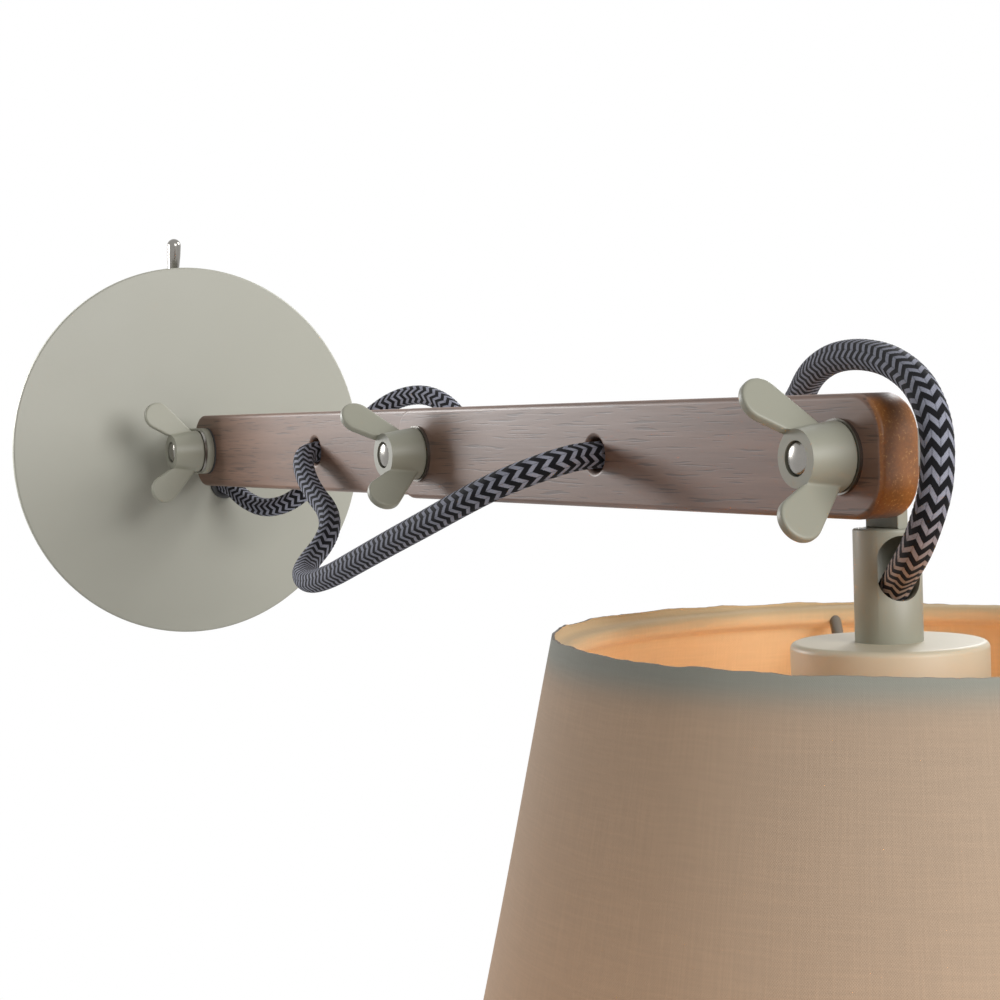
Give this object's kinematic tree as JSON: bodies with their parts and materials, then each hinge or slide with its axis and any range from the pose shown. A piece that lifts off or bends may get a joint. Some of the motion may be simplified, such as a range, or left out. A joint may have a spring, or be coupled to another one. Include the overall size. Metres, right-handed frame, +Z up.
{
  "type": "adjustable wall lamp",
  "caption": "Adjustable wall lamp: jointed wooden arms on wing-nut pivots, conical fabric shade on a swivel stem, round canopy with toggle switch, cord threaded through the arms.",
  "frame": {"origin": "centre of the canopy on the wall, midway between the wall screws", "axes": "+Z up; the lamp reaches out along -Y and +Y points into the wall; +X is to the right for a viewer who faces the wall, and the wing nuts are on the -X side"},
  "size_m": [0.218, 0.5905, 0.2747],
  "materials": {
    "canopy_paint": "satin warm grey paint",
    "satin_nickel": "bright nickel plate",
    "zinc_steel": "zinc plated",
    "brass_parts": "plain",
    "dark_wood": "oiled dark walnut, matt",
    "black_plastic": "matt",
    "white_plastic": "matt",
    "frame_wire": "powder coated wire",
    "linen": "linen weave on a stiff lining",
    "textile_cord": "braided cover",
    "opal_glass": "opal"
  },
  "bodies": {
    "wall": {"canopy_plate": "canopy_paint", "canopy_housing": "canopy_paint", "mounting_bracket": "zinc_steel", "housing_side_screws": "zinc_steel", "earth_screw": "brass_parts", "terminal_block": "white_plastic", "terminal_screws": "brass_parts", "cord_outlet_bush": "black_plastic", "cord_clamp": "black_plastic", "wall_fork": "canopy_paint", "fork_screws": "zinc_steel", "switch_body": "black_plastic", "switch_terminals": "brass_parts", "switch_bushing": "satin_nickel", "switch_nut": "satin_nickel", "wall_pivot_bolt": "satin_nickel", "wall_pivot_washers": "satin_nickel", "wall_friction_washers": "black_plastic", "cord_wall_stretch": "textile_cord"},
    "lever": {"switch_lever": "satin_nickel"},
    "wall_nut": {"wall_wing_nut": "canopy_paint"},
    "lower": {"lower_arm": "dark_wood", "elbow_bolt": "satin_nickel", "elbow_washers": "satin_nickel", "elbow_friction_washer": "black_plastic", "cord_elbow_stretch": "textile_cord"},
    "elbow_nut": {"elbow_wing_nut": "canopy_paint"},
    "upper": {"upper_arm": "dark_wood", "head_pivot_bolt": "satin_nickel", "head_pivot_washers": "satin_nickel", "head_friction_washer": "black_plastic", "cord_head_stretch": "textile_cord"},
    "head_nut": {"head_wing_nut": "canopy_paint"},
    "head": {"stem_eye": "canopy_paint", "stem_tube": "canopy_paint", "cord_grip": "zinc_steel", "threaded_nipple": "zinc_steel", "stem_locknut": "zinc_steel", "lampholder_cup": "canopy_paint", "lampholder_body": "black_plastic", "lampholder_thread": "brass_parts", "centre_contact": "brass_parts", "shade_frame": "frame_wire", "shade_bottom_wire": "frame_wire", "shade_fabric": "linen"},
    "ring_nut": {"shade_ring_nut": "black_plastic"},
    "bulb": {"bulb_cap": "brass_parts", "bulb_contact": "brass_parts", "bulb_glass": "opal_glass"}
  },
  "joints": [
    {"name": "wall_pivot", "type": "hinge", "parent": "wall", "child": "lower", "pos_m": [0, -0.0615, 0], "axis": [1, 0, 0], "range_deg": [-75, 75], "deforming": ["cord_wall_stretch"]},
    {"name": "elbow", "type": "hinge", "parent": "lower", "child": "upper", "pos_m": [0, -0.2715, 0], "axis": [1, 0, 0], "range_deg": [-75, 75], "deforming": ["cord_elbow_stretch"]},
    {"name": "head_pivot", "type": "hinge", "parent": "upper", "child": "head", "pos_m": [0, -0.4815, 0], "axis": [1, 0, 0], "range_deg": [-90, 14], "deforming": ["cord_head_stretch"]},
    {"name": "toggle", "type": "hinge", "parent": "wall", "child": "lever", "pos_m": [0, -0.013, 0.0651], "axis": [-1, 0, 0], "range_deg": [0, 20]},
    {"name": "wall_nut_turn", "type": "hinge", "parent": "wall", "child": "wall_nut", "pos_m": [0, -0.0615, 0], "axis": [1, 0, 0], "continuous": true},
    {"name": "elbow_nut_turn", "type": "hinge", "parent": "lower", "child": "elbow_nut", "pos_m": [0, -0.2715, 0], "axis": [1, 0, 0], "continuous": true},
    {"name": "head_nut_turn", "type": "hinge", "parent": "upper", "child": "head_nut", "pos_m": [0, -0.4815, 0], "axis": [1, 0, 0], "continuous": true},
    {"name": "shade_ring_turn", "type": "hinge", "parent": "head", "child": "ring_nut", "pos_m": [-0.004, -0.4815, -0.0928], "axis": [0, 0, 1], "continuous": true},
    {"name": "bulb_turn", "type": "hinge", "parent": "head", "child": "bulb", "pos_m": [-0.004, -0.4815, -0.1], "axis": [0, 0, 1], "continuous": true}
  ]
}
